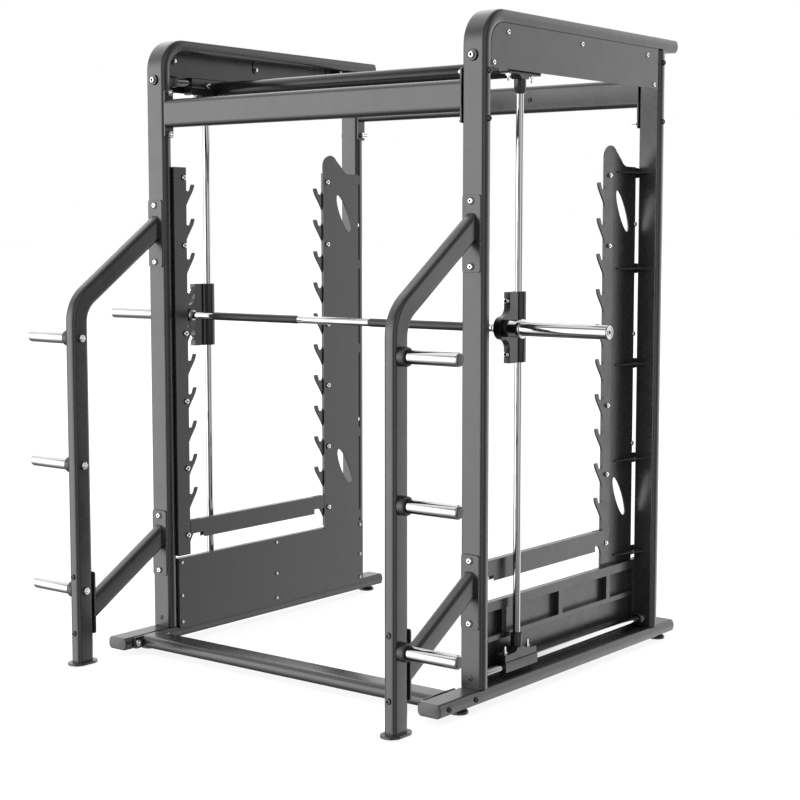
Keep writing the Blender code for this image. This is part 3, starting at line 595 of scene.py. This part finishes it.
def beam_fasteners(label, side):
    """Bolts of the cross beams and of the storage post's flanges."""
    inward, outward = (-side, 0, 0), (side, 0, 0)
    front, rear, base = middle("front_cross_beam"), middle("rear_cross_beam"), middle("base_cross_tube")
    flange, outer = side * FLANGE_IN, side * OUTER_X
    seats = [((flange, front.y, front.z + dz), inward) for dz in either_side(BEAM_BOLTS)]
    seats += [((flange, base.y + dy, base.z), inward) for dy in either_side(BASE_BOLTS)]
    nuts(f"{label}_flange_nuts", "root", ZINC, seats, *FRAME_NUT, stud=0.008)
    seats = [((flange, rear.y, rear.z + dz), inward) for dz in either_side(REAR_BEAM_BOLTS)]
    nuts(f"{label}_rear_flange_nuts", "root", ZINC, seats, *FRAME_NUT, stud=0.022)
    seats = [((side * FRAME_X, FLANGE_FACE, level), AHEAD) for level in POST_FLANGE_LEVELS]
    washers(f"{label}_flange_washers", "root", OXIDE_AND_SHADE, seats, *FRAME_WASHER)
    bolts(f"{label}_flange_bolts", "root", ZINC, raised(seats, FRAME_WASHER[1]), *FRAME_HEAD)
    seats = [((outer, front.y + HEAD_BACK, front.z + dz), outward) for dz in either_side(BEAM_BOLTS)]
    seats += [((outer, rear.y, rear.z + dz), outward) for dz in either_side(REAR_BEAM_BOLTS)]
    seats += [((outer, base.y + dy, base.z), outward) for dy in either_side(BASE_BOLTS)]
    post_face = POST_Y - POST_DEEP / 2
    seats += [((side * FRAME_X, post_face, BRACE_FOOT + dz), AHEAD) for dz in either_side(BRACE_BOLTS)]
    bolts(f"{label}_dark_bolts", "root", OXIDE_AND_SHADE, seats, *DARK_HEAD)


def rod_end_fasteners(label, side):
    """Bolts that hold the guide rods' front ends, the upper one on a thick black washer."""
    upper = [((side * FRAME_X, FRONT, UPPER_Z), AHEAD)]
    washers(f"{label}_rod_end_washers", "root", OXIDE_AND_SHADE, upper, *ROD_WASHER)
    bolts(f"{label}_rod_end_bolt", "root", ZINC, raised(upper, ROD_WASHER[1]), *ROD_HEAD, socket=0.6)
    lower = [((side * FRAME_X, FRONT, LOWER_Z), AHEAD)]
    bolts(f"{label}_low_rod_bolt", "root", OXIDE_AND_SHADE, lower, *LOW_ROD_HEAD)


def rack_fasteners(label, side):
    """Bolts through the rack plates' inner faces, with nuts outside, and the fin's own bolts."""
    inward, outward = (-side, 0, 0), (side, 0, 0)
    rack = [((side * RACK_IN, FRONT + y, z), inward) for y, levels in RACK_BOLTS for z in levels]
    washers(f"{label}_rack_washers", "root", OXIDE_AND_SHADE, rack, *RACK_WASHER)
    bolts(f"{label}_rack_bolts", "root", ZINC, raised(rack, RACK_WASHER[1]), *FRAME_HEAD)
    strip = side * high("right_front_hook_strip").x
    outside = [((strip, at[1], at[2]), outward) for at, _ in rack]
    nuts(f"{label}_rack_nuts", "root", ZINC, outside, *RACK_NUT, stud=0.004)
    studs = [((side * (RACK_IN + PLATE), REAR_FRONT - 0.003, z), outward) for z in FIN_BOLT_LEVELS]
    bolts(f"{label}_fin_bolts", "root", ZINC, studs, *FIN_HEAD)


def panel_fasteners(label, side):
    """Screws of the side panel, with nuts behind its upper row, and of the lower cover."""
    inward, outward = (-side, 0, 0), (side, 0, 0)
    panel = high("right_side_panel").x
    upper = [(y, PANEL_SCREW_LEVEL) for y in PANEL_SCREWS]
    screws = [((side * panel, FRONT + y, z), outward) for y, z in (*upper, *PANEL_CORNERS)]
    bolts(f"{label}_panel_screws", "root", ZINC, screws, *PANEL_HEAD)
    behind = side * (panel - PANEL_SHEET - GAP)
    inside = [((behind, FRONT + y, z), inward) for y, z in upper]
    nuts(f"{label}_panel_nuts", "root", ZINC, inside, *PANEL_NUT, stud=0.003)
    cover = side * low("right_lower_cover").x
    small = [((cover, FRONT + y, z), inward) for y in COVER_SCREWS for z in COVER_SCREW_LEVELS]
    washers(f"{label}_cover_washers", "root", OXIDE_AND_SHADE, small, *COVER_WASHER)
    bolts(f"{label}_cover_screws", "root", ZINC, raised(small, COVER_WASHER[1]), *COVER_HEAD)


def horn_fasteners(label, side):
    """Nuts of the plate horns on the storage post's inner side."""
    face = side * (FRAME_X - POST_WIDE / 2)
    horn_nuts = [((face, POST_Y, middle(f"{label}_{which}_horn").z), (-side, 0, 0)) for which in HORNS]
    washers(f"{label}_horn_washers", "root", OXIDE_AND_SHADE, horn_nuts, *HORN_WASHER)
    nuts(f"{label}_horn_nuts", "root", ZINC, raised(horn_nuts, HORN_WASHER[1]), *HORN_NUT, stud=0.006)


def fin_tabs(label, side):
    """Lugs on the fin, one at each rib, that hold it to the rear upright."""
    start, end = span(side, RACK_IN + PLATE, INNER_X - 0.0005)
    for i, level in enumerate(FIN_TAB_LEVELS):
        outline = rounded(0.046, 0.036, (0.004, 0.004), (REAR_FRONT - 0.009, level), steps=3)
        slab(f"{label}_fin_tab_{i}", "root", COAT, [outline], "X", start, end, edge=0.0005)


def side_panel(label, side):
    """Panel under the top beam, its edge tucked under the round of the tube."""
    node = f"{label}_side_panel"
    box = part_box(node)
    tuck, rear_gap = 0.0024, 0.007
    front, rear, top, bottom = box[0].y - tuck, box[1].y - rear_gap, box[1].z + tuck, box[0].z
    radius = BEND - TUBE[1] / 2 + tuck
    corner = arc((front + radius, top - radius), (radius, radius), 180, 90, 16)
    outline = [(front, bottom)] + corner + [(rear, top), (rear, bottom)]
    slab(node + "_sheet", "root", PANEL, [outline], "X", box[0].x, box[1].x, edge=0.0005, replaces=[node])


def panel_tabs(label, side):
    """Small round-ended lugs under the top beam that the side panel is screwed to."""
    wide, thick = 0.014, 0.003
    outer = low("right_side_panel").x - GAP
    start, end = span(side, outer - thick, outer)
    top = FRAME_TOP - TUBE[1] + 0.002
    for i, depth in enumerate(PANEL_SCREWS):
        y = FRONT + depth
        lug = [(y + wide, top), (y - wide, top)] + arc((y, PANEL_SCREW_LEVEL), (wide, wide), 180, 360, 10)
        slab(f"{label}_panel_tab_{i}", "root", COAT, [lug], "X", start, end, edge=0.0004)


# ---------------------------------------------------------------- turned parts
GUIDE_BORE = GUIDE_RADIUS + 0.0005    # bore of what stands on a guide rod


def guide_rods(label, side):
    """Chromed rods in a socket at each end; the upper one carries a bump stop near the front."""
    for name, level in (("upper", UPPER_Z), ("lower", LOWER_Z)):
        node = f"{label}_{name}_guide_rod"
        start, end = low(node).y, high(node).y
        centre = (side * FRAME_X, 0, level)
        turned(f"{label}_{name}_rod_bar", "root", CHROME, band(0, GUIDE_RADIUS, start, end), "Y", centre,
               replaces=[node])
        ends = {"front": (start + 0.0002, start + 0.016), "rear": (end - 0.039, end - 0.0002)}
        for where, (near, far) in ends.items():
            ring = band(GUIDE_BORE, 0.0215, near, far)
            turned(f"{label}_{name}_{where}_socket", "root", OXIDE_AND_SHADE, ring, "Y", centre, ring=True, ease=0.0012)
    centre = (side * FRAME_X, 0, UPPER_Z)
    start, length = FRONT + 0.0602, 0.026
    waist = [(GUIDE_BORE, 0.0), (0.0215, 0.0), (0.0220, 0.008), (0.0190, 0.012), (0.0190, 0.016),
             (0.0220, 0.020), (0.0215, length), (GUIDE_BORE, length)]
    stop = [(radius, start + along) for radius, along in waist]
    turned(f"{label}_bump_stop", "root", RUBBER, stop, "Y", centre, ring=True, ease=0.002)
    plate = band(GUIDE_BORE, 0.0205, start + length + 0.0002, start + length + 0.018)
    turned(f"{label}_bump_plate", "root", PLASTIC, plate, "Y", centre, ring=True, ease=0.002)


def horns(label, side):
    """Chromed plate horns, each with a rubber collar at the post and a plastic plug in its rounded end."""
    root, end = low("right_top_horn").x, high("right_top_horn").x
    shaft = [(0, root), (HORN_RADIUS, root), (HORN_RADIUS, end - 0.0075), (0.0211, end - 0.0050),
             (0.0201, end - 0.0032), (0.0186, end - 0.0022), (0, end - 0.0022)]
    bore = HORN_RADIUS + 0.0002
    collar = [(bore, root), (0.0295, root), (0.0295, root + 0.020), (0.0270, root + 0.026),
              (bore, root + 0.026)]
    cap = [(0, end - 0.0021), (0.0181, end - 0.0021), (0.0181, end - 0.0008), (0.0166, end), (0, end)]
    for which in HORNS:
        node = f"{label}_{which}_horn"
        centre = (0, POST_Y, middle(node).z)
        turned(node + "_tube", "root", CHROME, shaft, "X", centre, side=side, replaces=[node])
        turned(node + "_collar", "root", RUBBER, collar, "X", centre, ring=True, ease=0.002, side=side)
        turned(node + "_cap", "root", PLASTIC, cap, "X", centre, side=side)


def feet(label, side):
    """Levelling feet: rubber sole, hexagonal nut and threaded stem, from the floor up."""
    sole = [(0, 0.0), (0.0310, 0.0), (0.0310, 0.007), (0.0270, 0.011), (0.0120, 0.013), (0, 0.013)]
    nut = band(0, 0.0135, 0.0132, 0.0190)
    stem = band(0, 0.0080, 0.0192, RAIL[0].z - 0.0001)
    for where in ("front", "rear"):
        node = f"{label}_{where}_foot"
        centre = (middle(node).x, middle(node).y, 0)
        turned(node + "_sole", "root", RUBBER, sole, "Z", centre, ease=0.0015, replaces=[node])
        turned(node + "_nut", "root", ZINC, nut, "Z", centre, steps=6, ease=0.0)
        turned(node + "_stem", "root", ZINC, stem, "Z", centre, steps=24, ease=0.0)


def vertical_rod(label, side):
    """Chromed rod between the two carriages."""
    node = f"{label}_vertical_rod"
    rod = band(0, ROD_RADIUS, low(node).z, high(node).z)
    turned(f"{label}_rod", "gantry", CHROME, rod, "Z", (side * FRAME_X, ROD.y, 0), replaces=[node])


def sync_tube():
    """Tube that ties the two upper carriages together."""
    node = "sync_tube"
    reach, radius = high(node).x, (high(node).y - low(node).y) / 2
    ring = band(radius - WALL, radius, -reach, reach)
    centre = (0, middle(node).y, middle(node).z)
    # the tube wears the darkened copy of the coat: painted shade
    turned("sync_bar", "gantry", SHADED_COAT, ring, "X", centre, ring=True, replaces=[node])


# ---------------------------------------------------------------------- gantry
BLOCK = (0.0235, 0.019)               # half width and half height of a bearing block


def bearing_block(label, name, x, level):
    """Block with eased edges, bored for the guide rod."""
    node = f"{label}_{name}_carriage"
    start, end = low(node).y, high(node).y
    ease, corner = 0.0015, 0.007
    rings = []
    for y, inset in ((start, ease), (start + ease, 0.0), (end - ease, 0.0), (end, ease)):
        outline = rounded(2 * (BLOCK[0] - inset), 2 * (BLOCK[1] - inset), (corner, corner), steps=5)
        rings.append([Vector((x + u, y, level + v)) for u, v in outline])
    bore = circle(GUIDE_RADIUS + 0.0004, 28, 0)
    work = bmesh.new()
    outer = skin(work, rings)
    inner = skin(work, [[Vector((x + spot.x, y, level + spot.y)) for spot in bore] for y in (start, end)])
    for pair in ((outer[0], inner[0]), (outer[-1], inner[-1])):
        edges = []
        for ring in pair:
            for i in range(len(ring)):
                edges.append(work.edges.get((ring[i], ring[(i + 1) % len(ring)])))
        bmesh.ops.triangle_fill(work, use_beauty=True, edges=edges)
    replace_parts(show(work, f"{label}_{name}_bearing_block", "gantry", CASTING), node)
    return start, end


def carriage(label, side, name, inward):
    """Bearing block on a guide rod, and the waisted saddle that holds the vertical rod to it."""
    x, level = side * FRAME_X, UPPER_Z if name == "upper" else LOWER_Z
    start, end = bearing_block(label, name, x, level)
    half, back = BLOCK
    # the saddle is a flat foot on the block that curves in to the rod's collar
    y = (start + end) / 2
    profile = [(end - 0.001, 0.0), (end - 0.001, 0.019), (end - 0.004, 0.022), (y + 0.046, 0.023),
               (y + 0.034, 0.025), (y + 0.026, 0.030), (y + 0.022, 0.036)]
    profile += [(2 * y - along, rise) for along, rise in reversed(profile)]
    outline = [(along, level + inward * (back + 0.001 + rise)) for along, rise in profile]
    wide = 0.0195
    slab(f"{label}_{name}_saddle", "gantry", CASTING, [outline], "X", x - wide, x + wide, edge=0.002)
    collar = band(ROD_RADIUS + 0.0005, wide, level + inward * 0.044, level + inward * 0.100)
    turned(f"{label}_{name}_rod_collar", "gantry", CASTING, collar, "Z", (x, ROD.y, 0), ring=True,
           ease=0.0012)
    head = level + inward * (back + 0.0235)
    pair = [((x, ROD.y + dy, head), (0, 0, inward)) for dy in either_side(0.066)]
    nuts(f"{label}_{name}_saddle_nuts", "gantry", ZINC, pair, *SADDLE_NUT, stud=0.016)
    cap = [((x - side * half, ROD.y - 0.013, level + inward * 0.006), (-side, 0, 0))]
    washers(f"{label}_{name}_block_washer", "gantry", OXIDE_AND_SHADE, cap, *BLOCK_WASHER)
    bolts(f"{label}_{name}_block_bolt", "gantry", ZINC, raised(cap, BLOCK_WASHER[1]), *BLOCK_HEAD)


# --------------------------------------------------------------------- barbell
BAR_BORE = 0.0142                     # bore of what the bar turns in
HUB_CORNER = 0.0160                   # a hexagonal bore's corners, so that its flats clear the bar


def housing(label, side):
    """Barrel that slides on the vertical rod, with a seal at each end."""
    node = f"{label}_rod_housing"
    foot, top = low(node).z, high(node).z
    centre = (side * FRAME_X, ROD.y, 0)
    barrel = band(0.0200, 0.0250, foot, top)
    turned(f"{label}_housing_barrel", "barbell", CASTING, barrel, "Z", centre, ring=True, ease=0.0015,
           replaces=[node])
    half, inset = 0.003, 0.0045
    for which, z in (("top", top - inset), ("bottom", foot + inset)):
        seal = band(0.0132, 0.0197, z - half, z + half)
        turned(f"{label}_{which}_seal", "barbell", RUBBER, seal, "Z", centre, ring=True, ease=0.001)


def carrier(label, side):
    """Plate from the housing to the bar: straight in front, with a filleted boss round the bar."""
    node = f"{label}_rod_housing"
    foot, top = low(node).z, high(node).z
    front, fillet, boss = FRONT + 0.186, 0.030, 0.0375
    across = front - fillet - BAR.y
    rise = math.sqrt((boss + fillet) ** 2 - across ** 2)
    turn = math.degrees(math.atan2(rise, across))
    outline = [(ROD.y - 0.031, foot), (ROD.y - 0.031, top), (front, top)]
    outline += arc((BAR.y + across, BAR.z + rise), (fillet, fillet), 0, turn - 180, 10)
    outline += arc((BAR.y, BAR.z), (boss, boss), turn, 360 - turn, 36)[1:-1]
    outline += arc((BAR.y + across, BAR.z - rise), (fillet, fillet), 180 - turn, 0, 10)
    outline += [(front, foot)]
    hole = arc((BAR.y, BAR.z), (BAR_BORE, BAR_BORE), 0, 348, 29)
    start, end = span(side, 0.693, 0.717)
    slab(f"{label}_carrier", "barbell", CASTING, [outline, hole], "X", start, end, edge=0.002)
    web = rounded(0.016, top - foot, (0.002, 0.002), (ROD.y - 0.026, (top + foot) / 2))
    start, end = span(side, 0.688, 0.710)
    slab(f"{label}_carrier_web", "barbell", CASTING, [web], "X", start, end, edge=0.001)
    return front


def hubs(label, side, front):
    """Hubs of the bar on both faces of the carrier, the carrier's screws and the rod's bush."""
    spin = (0, BAR.y, BAR.z)
    hub = [(HUB_CORNER, 0.7165), (0.0305, 0.7165), (0.0315, 0.7190), (0.0315, 0.7300), (0.0285, 0.7355),
           (HUB_CORNER, 0.7355)]
    turned(f"{label}_outer_hub", "barbell", CASTING, hub, "X", spin, steps=6, ring=True, side=side)
    rim = band(BAR_BORE, 0.0225, 0.6872, 0.6935)
    turned(f"{label}_inner_hub", "barbell", CASTING, rim, "X", spin, ring=True, ease=0.0012, side=side)
    screws = [((side * 0.705, front, BAR.z + dz), AHEAD) for dz in either_side(0.086)]
    bolts(f"{label}_carrier_screws", "barbell", ZINC, screws, *CARRIER_HEAD)
    node = f"{label}_linear_bearing"
    bush = band(0.0129, 0.0194, low(node).z + 0.007, high(node).z - 0.007)
    turned(f"{label}_bush", "barbell", BUSH, bush, "Z", (side * FRAME_X, ROD.y, 0), ring=True,
           replaces=[node])


def barbell():
    """Centre bar with a grip and a stop ring on each side."""
    spin = (0, BAR.y, BAR.z)
    end = high("barbell_bar").x
    turned("bar_shaft", "bar", CHROME, band(0, BAR_RADIUS, -end, end), "X", spin, replaces=["barbell_bar"])
    stop = [(0.0132, 0.6764), (0.0165, 0.6764), (0.0195, 0.6780), (0.0195, 0.6862), (0.0132, 0.6862)]
    grip = [(0.0131, 0.160), (0.0137, 0.160), (0.0143, 0.175), (0.0143, 0.555), (0.0137, 0.570),
            (0.0131, 0.570)]
    for label, side in SIDES.items():
        turned(f"{label}_stop_ring", "bar", CHROME, stop, "X", spin, ring=True, side=side)
        turned(f"{label}_grip", "bar", GRIP, grip, "X", spin, ring=True, ease=0.0004, side=side)


def sleeve(label, side):
    """Plate sleeve: hub, shoulder and tube, with a stepped end and its screw."""
    root, end = low("right_bar_sleeve").x, high("right_bar_sleeve").x
    body = f"{label}_sleeve"
    bore = [(0, end - 0.0055), (0.0135, end - 0.0055)]
    hub = [(0.0135, root), (SLEEVE_RADIUS, root), (0.0282, root + 0.003), (0.0282, root + 0.034)]
    shoulder = [(0.0310, root + 0.035), (0.0310, root + 0.046), (SLEEVE_RADIUS, root + 0.0465)]
    tip = [(SLEEVE_RADIUS, end - 0.003), (0.0205, end), (0.0165, end), (0.0160, end - 0.002),
           (0.0115, end - 0.002), (0.0110, end - 0.0005), (0.0065, end - 0.0005), (0.0060, end - 0.004),
           (0, end - 0.004)]
    turned(f"{label}_plate_sleeve", body, CHROME, bore + hub + shoulder + tip, "X", (0, BAR.y, BAR.z),
           side=side, replaces=[f"{label}_bar_sleeve"])
    screw = [((side * (end - 0.004), BAR.y, BAR.z), (side, 0, 0))]
    bolts(f"{label}_sleeve_screw", body, OXIDE_AND_SHADE, screw, *SLEEVE_HEAD)


# ------------------------------------------------------------------------ build
PAINTED = ("storage_post", "storage_brace", "rear_rack_plate", "front_hook_strip", "rear_hook_strip",
           "side_frame", "safety_bar")
for node in ("front_cross_beam", "rear_cross_beam", "base_cross_tube"):
    refined(node, COAT)
sync_tube()
barbell()
beam_bolt = [((BEAM_BOLT[0], low("rear_cross_beam").y, BEAM_BOLT[1]), AHEAD)]
bolts("rear_beam_bolt", "root", OXIDE_AND_SHADE, beam_bolt, *BEAM_HEAD)
for label, side in SIDES.items():
    for kind in PAINTED:
        refined(f"{label}_{kind}", COAT)
    refined(f"{label}_lower_cover", PANEL)
    side_panel(label, side)
    fin_tabs(label, side)
    frame_tubes(label, side)
    front_rack_plate(label, side)
    beam_caps(label, side)
    beam_fasteners(label, side)
    rod_end_fasteners(label, side)
    rack_fasteners(label, side)
    panel_fasteners(label, side)
    horn_fasteners(label, side)
    panel_tabs(label, side)
    guide_rods(label, side)
    horns(label, side)
    feet(label, side)
    vertical_rod(label, side)
    carriage(label, side, "upper", -1)
    carriage(label, side, "lower", 1)
    housing(label, side)
    hubs(label, side, carrier(label, side))
    sleeve(label, side)


# ---------------------------------------------------------------------- studio
# azimuth, half width of full light and of no light, strength, then four heights between which the light
# rises and falls, as the Z of a direction
SOFT_BOXES = (
    (242.0, 14.0, 56.0, 4.5, (-0.85, 0.05, 0.12, 0.70)),
    (75.0, 10.0, 44.0, 1.95, (-0.85, -0.30, 0.35, 0.80)),
    (345.0, 10.0, 33.0, 1.1, (-0.60, -0.10, 0.40, 0.85)),
    (142.0, 10.0, 33.0, 1.1, (-0.60, -0.10, 0.40, 0.85)),
)
SURROUND = 0.26
CEILING = ((-0.483, 0.129, 0.866), 20.0, 50.0, 1.8)     # direction, the two half widths, strength
SUNS = {"key": ((-0.75, -0.66, 0.35), 0.9, 40), "overhead": ((0.10, -0.05, 1.0), 1.2, 50),
        "back": ((-0.45, 0.80, 0.40), 2.6, 60)}          # direction, strength, width in degrees
FLOOR_HALF, FLOOR_TONE, FLOOR_GLOW = 120.0, 0.18, 0.86
CAMERA_PLACE = (3.7416, FRONT - 4.2787, 1.5104)
CAMERA_TILT, CAMERA_TURN = 84.33, 37.86
CAMERA_LENS, CAMERA_FILM = 75.717, 36.0
WHITE = (1.0, 1.0, 1.0, 1.0)


def stage_floor():
    """Plain pale floor that lights nothing and shows in no reflection."""
    work = bmesh.new()
    bmesh.ops.create_grid(work, x_segments=1, y_segments=1, size=FLOOR_HALF)
    mesh = bpy.data.meshes.new("floor")
    work.to_mesh(mesh)
    work.free()
    floor = bpy.data.objects.new("floor", mesh)
    bpy.context.scene.collection.objects.link(floor)
    pale = bpy.data.materials.new("pale_floor")
    pale.use_nodes = True
    shader = pale.node_tree.nodes["Principled BSDF"]
    shader.inputs["Base Color"].default_value = (FLOOR_TONE, FLOOR_TONE, FLOOR_TONE, 1.0)
    shader.inputs["Roughness"].default_value = 0.9
    shader.inputs["Specular IOR Level"].default_value = 0.0
    shader.inputs["Emission Color"].default_value = WHITE
    shader.inputs["Emission Strength"].default_value = FLOOR_GLOW
    mesh.materials.append(pale)
    floor.visible_diffuse = False
    floor.visible_glossy = False


def studio_world():
    """White surroundings for the camera; soft boxes and a ceiling for everything else."""
    world = bpy.data.worlds.new("studio")
    bpy.context.scene.world = world
    world.use_nodes = True
    tree = world.node_tree
    tree.nodes.clear()
    place = node_of(tree, "TexCoord").outputs["Generated"]
    parts = node_of(tree, "SeparateXYZ")
    tree.links.new(place, parts.inputs["Vector"])
    height = parts.outputs["Z"]
    level = node_of(tree, "VectorMath", operation="MULTIPLY")
    level.inputs[1].default_value = (1.0, 1.0, 0.0)
    tree.links.new(place, level.inputs[0])
    plan = node_of(tree, "VectorMath", operation="NORMALIZE")
    tree.links.new(level.outputs["Vector"], plan.inputs[0])

    def joined(first, second, operation):
        """Sum or product of two values, each a number or another node's output."""
        made = node_of(tree, "Math", operation=operation)
        for socket, value in zip(made.inputs, (first, second)):
            if isinstance(value, float):
                socket.default_value = value
            else:
                tree.links.new(value, socket)
        return made.outputs["Value"]

    def window(value, stops):
        """Smooth rise and fall of a value over four stops."""
        up = spread(tree, value, 0.0, 1.0, stops[0], stops[1])
        down = spread(tree, value, 1.0, 0.0, stops[2], stops[3])
        return joined(up, down, "MULTIPLY")

    def lobe(vector, direction, full, nothing, strength):
        """Light round a direction, in full inside one angle and gone outside the other."""
        facing = node_of(tree, "VectorMath", operation="DOT_PRODUCT")
        facing.inputs[1].default_value = direction
        tree.links.new(vector, facing.inputs[0])
        return spread(tree, facing.outputs["Value"], 0.0, strength,
                      math.cos(math.radians(nothing)), math.cos(math.radians(full)))

    total = SURROUND
    for azimuth, full, nothing, strength, stops in SOFT_BOXES:
        turn = math.radians(azimuth)
        across = lobe(plan.outputs["Vector"], (math.cos(turn), math.sin(turn), 0.0), full, nothing, strength)
        total = joined(joined(across, window(height, stops), "MULTIPLY"), total, "ADD")
    total = joined(lobe(place, *CEILING), total, "ADD")
    around = node_of(tree, "Background")
    around.inputs["Color"].default_value = WHITE
    tree.links.new(total, around.inputs["Strength"])
    seen = node_of(tree, "Background")
    seen.inputs["Color"].default_value = WHITE
    path = node_of(tree, "LightPath")
    mix = node_of(tree, "MixShader")
    tree.links.new(path.outputs["Is Camera Ray"], mix.inputs[0])
    tree.links.new(around.outputs["Background"], mix.inputs[1])
    tree.links.new(seen.outputs["Background"], mix.inputs[2])
    output = node_of(tree, "OutputWorld")
    tree.links.new(mix.outputs["Shader"], output.inputs["Surface"])


def soft_sun(name, toward, strength, wide):
    """Broad light from a direction; it shows in no reflection."""
    light = bpy.data.lights.new(name, "SUN")
    light.energy = strength
    light.angle = math.radians(wide)
    lamp = bpy.data.objects.new(name, light)
    lamp.rotation_euler = Vector(toward).to_track_quat("Z", "Y").to_euler()
    lamp.visible_glossy = False
    bpy.context.scene.collection.objects.link(lamp)


def camera():
    """Camera in front of the machine, on its right."""
    data = bpy.data.cameras.new("camera")
    data.sensor_width = CAMERA_FILM
    data.lens = CAMERA_LENS
    data.clip_end = 200.0
    eye = bpy.data.objects.new("camera", data)
    eye.location = CAMERA_PLACE
    eye.rotation_euler = (math.radians(CAMERA_TILT), 0.0, math.radians(CAMERA_TURN))
    bpy.context.scene.collection.objects.link(eye)
    bpy.context.scene.camera = eye


stage_floor()
studio_world()
for name, (toward, strength, wide) in SUNS.items():
    soft_sun(name, toward, strength, wide)
camera()
bpy.context.scene.view_settings.view_transform = "Standard"
